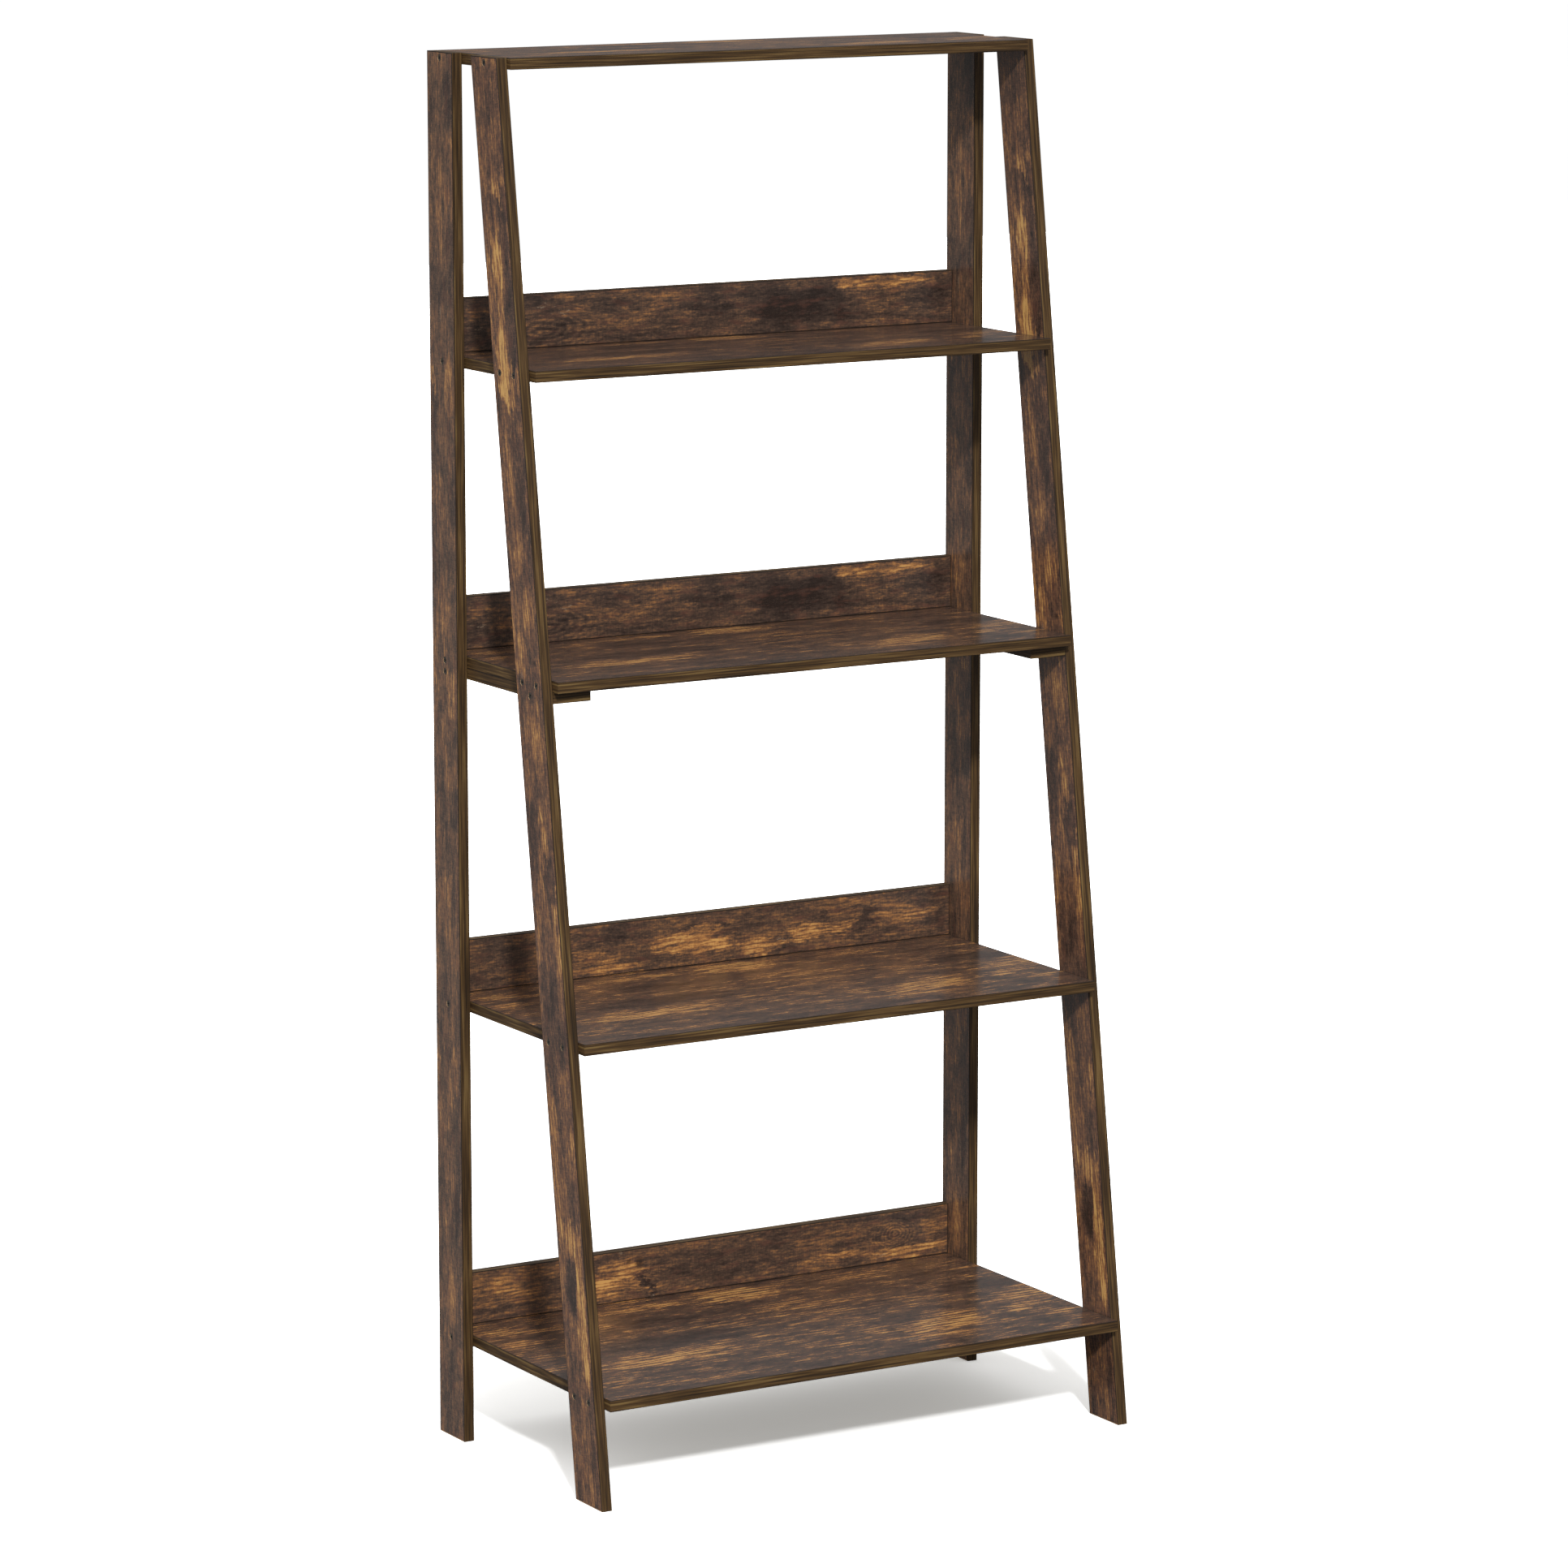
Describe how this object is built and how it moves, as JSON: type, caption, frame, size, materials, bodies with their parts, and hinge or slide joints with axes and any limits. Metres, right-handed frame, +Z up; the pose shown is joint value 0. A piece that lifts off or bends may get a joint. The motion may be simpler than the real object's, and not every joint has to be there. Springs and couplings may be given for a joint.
{
  "type": "ladder shelf",
  "caption": "Ladder shelf: level shelves of growing depth between two side frames, each a vertical rear upright and a sloping front leg, with low rails along the back.",
  "frame": {"origin": "on the floor, at the middle of the footprint", "axes": "+Z up, front towards -Y, back plane facing +Y, +X to the right of someone who faces the front"},
  "size_m": [0.65, 0.358, 1.48],
  "materials": {
    "rustic_board": "melamine-faced board with a rustic brown wood print and olive-brown edge bands, satin",
    "zinc_screw": "countersunk wood screw, dulled zinc plate",
    "beech_dowel": "plain turned beech, unfinished"
  },
  "bodies": {
    "root": {"bottom_back_rail": "rustic_board", "bottom_shelf": "rustic_board", "left_bottom_back_rail_dowel": "beech_dowel", "left_bottom_shelf_aft_screw": "zinc_screw", "left_bottom_shelf_fore_screw": "zinc_screw", "left_bottom_shelf_rear_screw": "zinc_screw", "left_cleat": "rustic_board", "left_cleat_front_screw": "zinc_screw", "left_cleat_rear_screw": "zinc_screw", "left_front_leg": "rustic_board", "left_lower_back_rail_dowel": "beech_dowel", "left_lower_shelf_aft_screw": "zinc_screw", "left_lower_shelf_fore_screw": "zinc_screw", "left_lower_shelf_rear_screw": "zinc_screw", "left_middle_back_rail_dowel": "beech_dowel", "left_middle_shelf_aft_screw": "zinc_screw", "left_middle_shelf_fore_screw": "zinc_screw", "left_middle_shelf_rear_screw": "zinc_screw", "left_rear_upright": "rustic_board", "left_top_shelf_front_screw": "zinc_screw", "left_top_shelf_rear_screw": "zinc_screw", "left_upper_back_rail_dowel": "beech_dowel", "left_upper_shelf_aft_screw": "zinc_screw", "left_upper_shelf_fore_screw": "zinc_screw", "left_upper_shelf_rear_screw": "zinc_screw", "lower_back_rail": "rustic_board", "lower_shelf": "rustic_board", "middle_back_rail": "rustic_board", "middle_shelf": "rustic_board", "right_bottom_back_rail_dowel": "beech_dowel", "right_bottom_shelf_aft_screw": "zinc_screw", "right_bottom_shelf_fore_screw": "zinc_screw", "right_bottom_shelf_rear_screw": "zinc_screw", "right_cleat": "rustic_board", "right_cleat_front_screw": "zinc_screw", "right_cleat_rear_screw": "zinc_screw", "right_front_leg": "rustic_board", "right_lower_back_rail_dowel": "beech_dowel", "right_lower_shelf_aft_screw": "zinc_screw", "right_lower_shelf_fore_screw": "zinc_screw", "right_lower_shelf_rear_screw": "zinc_screw", "right_middle_back_rail_dowel": "beech_dowel", "right_middle_shelf_aft_screw": "zinc_screw", "right_middle_shelf_fore_screw": "zinc_screw", "right_middle_shelf_rear_screw": "zinc_screw", "right_rear_upright": "rustic_board", "right_top_shelf_front_screw": "zinc_screw", "right_top_shelf_rear_screw": "zinc_screw", "right_upper_back_rail_dowel": "beech_dowel", "right_upper_shelf_aft_screw": "zinc_screw", "right_upper_shelf_fore_screw": "zinc_screw", "right_upper_shelf_rear_screw": "zinc_screw", "top_shelf": "rustic_board", "upper_back_rail": "rustic_board", "upper_shelf": "rustic_board"}
  },
  "joints": []
}
